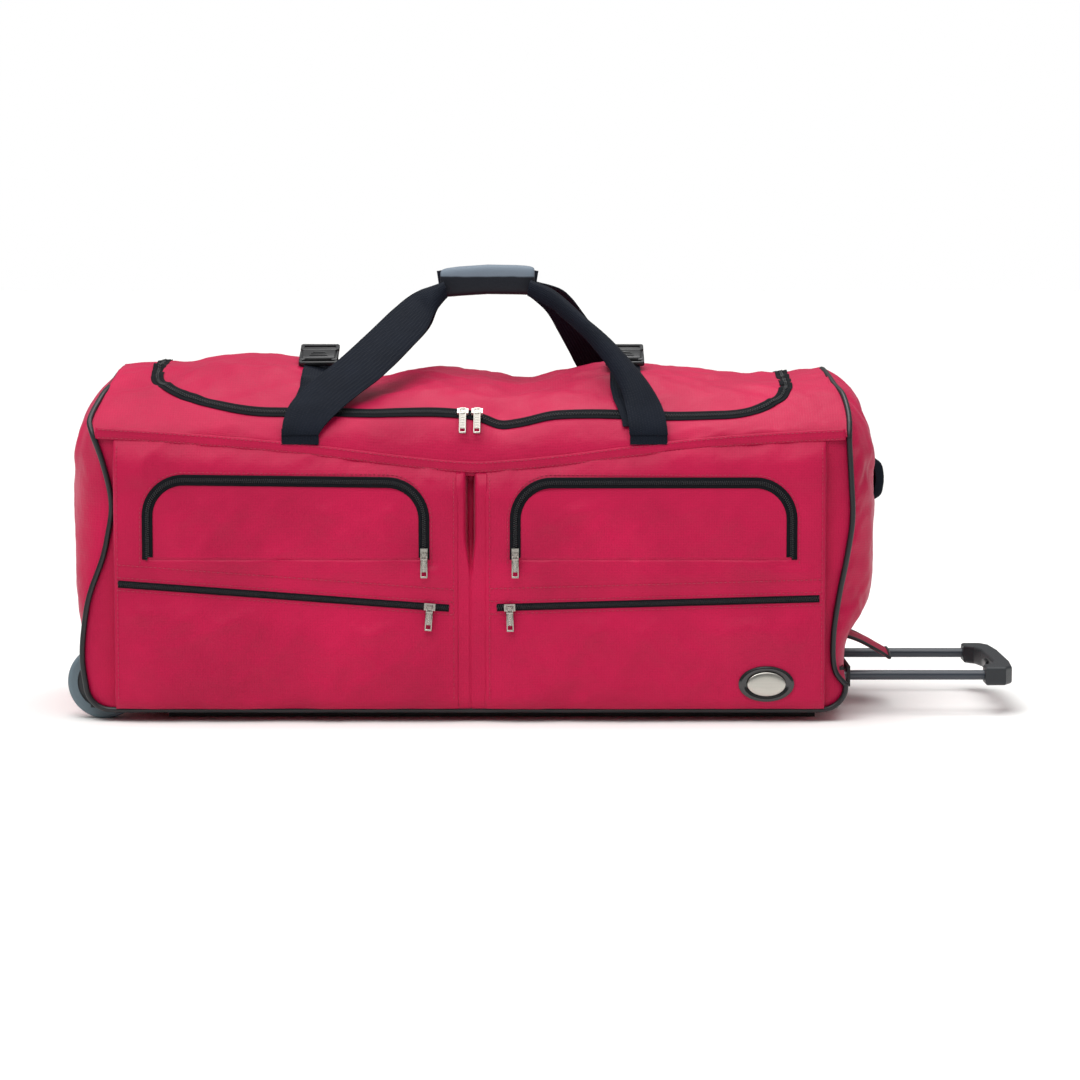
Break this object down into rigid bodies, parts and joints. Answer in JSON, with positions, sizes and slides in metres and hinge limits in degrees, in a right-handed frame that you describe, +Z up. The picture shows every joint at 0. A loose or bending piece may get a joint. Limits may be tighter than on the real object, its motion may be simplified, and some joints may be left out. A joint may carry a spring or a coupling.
{
  "type": "rolling duffel bag",
  "caption": "Long soft duffel on wheels with a zipped lid, front pockets, carry handles over the top and a telescoping pull handle at one end.",
  "frame": {"origin": "on the floor under the middle of the bag body, on the bottom face of the middle skid runner", "axes": "+X towards the trolley handle end, -Y towards the pocket side, +Z up"},
  "size_m": [1.208, 0.3906, 0.572],
  "materials": {
    "bag_fabric": "woven polyester with a soft sheen",
    "black_piping": "black covered cord",
    "zip_tape": "black coil zip tape",
    "webbing": "black ribbed webbing",
    "grip_padding": "padded coated cloth",
    "buckle_plastic": "moulded acetal",
    "zip_metal": "nickel plated die casting",
    "badge_rim": "glossy moulded rim",
    "badge_metal": "brushed plate",
    "base_plastic": "moulded polypropylene",
    "axle_steel": "turned steel",
    "outer_tube_steel": "painted tube",
    "tube_paint": "satin dark blue grey enamel",
    "grip_plastic": "textured moulded grip",
    "tyre": "grey rubber tread",
    "hub_plastic": "moulded nylon"
  },
  "bodies": {
    "bag": {"front_panel": "bag_fabric", "back_panel": "bag_fabric", "base_panel": "bag_fabric", "front_yoke": "bag_fabric", "back_yoke": "bag_fabric", "end_yokes": "bag_fabric", "left_end_panel": "bag_fabric", "right_end_panel": "bag_fabric", "left_piping": "black_piping", "right_piping": "black_piping", "base_piping": "black_piping", "main_zip_tape": "zip_tape", "left_pocket": "bag_fabric", "right_pocket": "bag_fabric", "upper_pocket_zips": "zip_tape", "lower_pocket_zips": "zip_tape", "badge_base": "badge_rim", "badge_plate": "badge_metal", "end_grab_handle": "webbing", "webbing_anchors": "webbing", "wheel_housings": "base_plastic", "wheel_axles": "axle_steel", "outer_tube_front": "outer_tube_steel", "outer_tube_back": "outer_tube_steel", "tube_mouth_plate": "base_plastic", "base_board": "base_plastic", "skid_runners": "base_plastic"},
    "lid": {"top_lid": "bag_fabric", "lid_zip_tape": "zip_tape"},
    "front_carry": {"front_handle_webbing": "webbing", "front_wrap_half": "grip_padding", "front_lid_straps": "webbing", "buckle_sockets": "buckle_plastic"},
    "back_carry": {"back_handle_webbing": "webbing", "back_wrap_half": "grip_padding", "back_lid_straps": "webbing", "buckle_plugs": "buckle_plastic"},
    "left_flap": {"left_pocket_flap": "bag_fabric"},
    "right_flap": {"right_pocket_flap": "bag_fabric"},
    "front_wheel": {"front_tyre": "tyre", "front_wheel_hub": "hub_plastic"},
    "back_wheel": {"back_tyre": "tyre", "back_wheel_hub": "hub_plastic"},
    "trolley": {"inner_tube_front": "tube_paint", "inner_tube_back": "tube_paint", "trolley_grip": "grip_plastic"},
    "button": {"release_button": "grip_plastic"},
    "cover_flap": {"handle_cover_flap": "bag_fabric"},
    "main_slider_left": {"main_slider_left": "zip_metal"},
    "main_pull_left": {"main_pull_left": "zip_metal"},
    "lower_slider_left": {"lower_slider_left": "zip_metal"},
    "lower_pull_left": {"lower_pull_left": "zip_metal"},
    "upper_slider_left": {"upper_slider_left": "zip_metal"},
    "upper_pull_left": {"upper_pull_left": "zip_metal"},
    "main_slider_right": {"main_slider_right": "zip_metal"},
    "main_pull_right": {"main_pull_right": "zip_metal"},
    "lower_slider_right": {"lower_slider_right": "zip_metal"},
    "lower_pull_right": {"lower_pull_right": "zip_metal"},
    "upper_slider_right": {"upper_slider_right": "zip_metal"},
    "upper_pull_right": {"upper_pull_right": "zip_metal"}
  },
  "joints": [
    {"name": "lid_hinge", "type": "hinge", "parent": "bag", "child": "lid", "pos_m": [0, 0.15, 0.39201], "axis": [-1, 0, 0], "range_deg": [0, 76]},
    {"name": "front_carry_hinge", "type": "hinge", "parent": "bag", "child": "front_carry", "pos_m": [0.006, -0.182, 0.372], "axis": [1, 0, 0], "range_deg": [0, 190], "deforming": ["front_lid_straps"]},
    {"name": "back_carry_hinge", "type": "hinge", "parent": "bag", "child": "back_carry", "pos_m": [0.006, 0.182, 0.372], "axis": [-1, 0, 0], "range_deg": [0, 190], "deforming": ["back_lid_straps"]},
    {"name": "left_flap_hinge", "type": "hinge", "parent": "bag", "child": "left_flap", "pos_m": [-0.23, -0.196, 0.2066], "axis": [1, 0, 0], "range_deg": [0, 110]},
    {"name": "right_flap_hinge", "type": "hinge", "parent": "bag", "child": "right_flap", "pos_m": [0.23, -0.196, 0.2066], "axis": [1, 0, 0], "range_deg": [0, 110]},
    {"name": "front_wheel_spin", "type": "hinge", "parent": "bag", "child": "front_wheel", "pos_m": [-0.464, -0.145, 0.047], "axis": [0, 1, 0], "continuous": true},
    {"name": "back_wheel_spin", "type": "hinge", "parent": "bag", "child": "back_wheel", "pos_m": [-0.464, 0.145, 0.047], "axis": [0, 1, 0], "continuous": true},
    {"name": "trolley_slide", "type": "slide", "parent": "bag", "child": "trolley", "axis": [1, 0, 0], "range_m": [-0.172, 0.2]},
    {"name": "release_press", "type": "slide", "parent": "trolley", "child": "button", "axis": [1, 0, 0], "range_m": [0, 0.003], "stiffness_N_per_m": 500, "springref_m": -0.002},
    {"name": "cover_flap_hinge", "type": "hinge", "parent": "bag", "child": "cover_flap", "pos_m": [0.4845, 0, 0.096], "axis": [0, -1, 0], "range_deg": [0, 45]},
    {"name": "main_zip_left", "type": "slide", "parent": "bag", "child": "main_slider_left", "axis": [-1, 0, 0], "range_m": [0, 0.15]},
    {"name": "main_pull_swing_left", "type": "hinge", "parent": "main_slider_left", "child": "main_pull_left", "pos_m": [-0.009, -0.16226, 0.39352], "axis": [-1, 0, 0], "range_deg": [0, 130]},
    {"name": "lower_zip_left", "type": "slide", "parent": "bag", "child": "lower_slider_left", "axis": [-0.9974, 0, 0.0726], "range_m": [0, 0.375]},
    {"name": "lower_pull_swing_left", "type": "hinge", "parent": "lower_slider_left", "child": "lower_pull_left", "pos_m": [-0.05, -0.2045, 0.1476], "axis": [-0.9974, 0, 0.0726], "range_deg": [-8, 130]},
    {"name": "upper_zip_left", "type": "slide", "parent": "bag", "child": "upper_slider_left", "axis": [0, 0, 1], "range_m": [0, 0.08]},
    {"name": "upper_pull_swing_left", "type": "hinge", "parent": "upper_slider_left", "child": "upper_pull_left", "pos_m": [-0.057, -0.2045, 0.214], "axis": [-1, 0, 0], "range_deg": [-8, 130]},
    {"name": "main_zip_right", "type": "slide", "parent": "bag", "child": "main_slider_right", "axis": [1, 0, 0], "range_m": [0, 0.15]},
    {"name": "main_pull_swing_right", "type": "hinge", "parent": "main_slider_right", "child": "main_pull_right", "pos_m": [0.009, -0.16226, 0.39352], "axis": [-1, 0, 0], "range_deg": [0, 130]},
    {"name": "lower_zip_right", "type": "slide", "parent": "bag", "child": "lower_slider_right", "axis": [0.9996, 0, 0.0291], "range_m": [0, 0.375]},
    {"name": "lower_pull_swing_right", "type": "hinge", "parent": "lower_slider_right", "child": "lower_pull_right", "pos_m": [0.05, -0.2045, 0.14664], "axis": [-0.9996, 0, -0.0291], "range_deg": [-8, 130]},
    {"name": "upper_zip_right", "type": "slide", "parent": "bag", "child": "upper_slider_right", "axis": [0, 0, 1], "range_m": [0, 0.08]},
    {"name": "upper_pull_swing_right", "type": "hinge", "parent": "upper_slider_right", "child": "upper_pull_right", "pos_m": [0.057, -0.2045, 0.214], "axis": [-1, 0, 0], "range_deg": [-8, 130]}
  ],
  "couplings": [
    {"joint": "front_carry_hinge", "follows": "lid_hinge", "ratio": 2.5},
    {"joint": "back_carry_hinge", "follows": "lid_hinge", "ratio": 2.5}
  ]
}
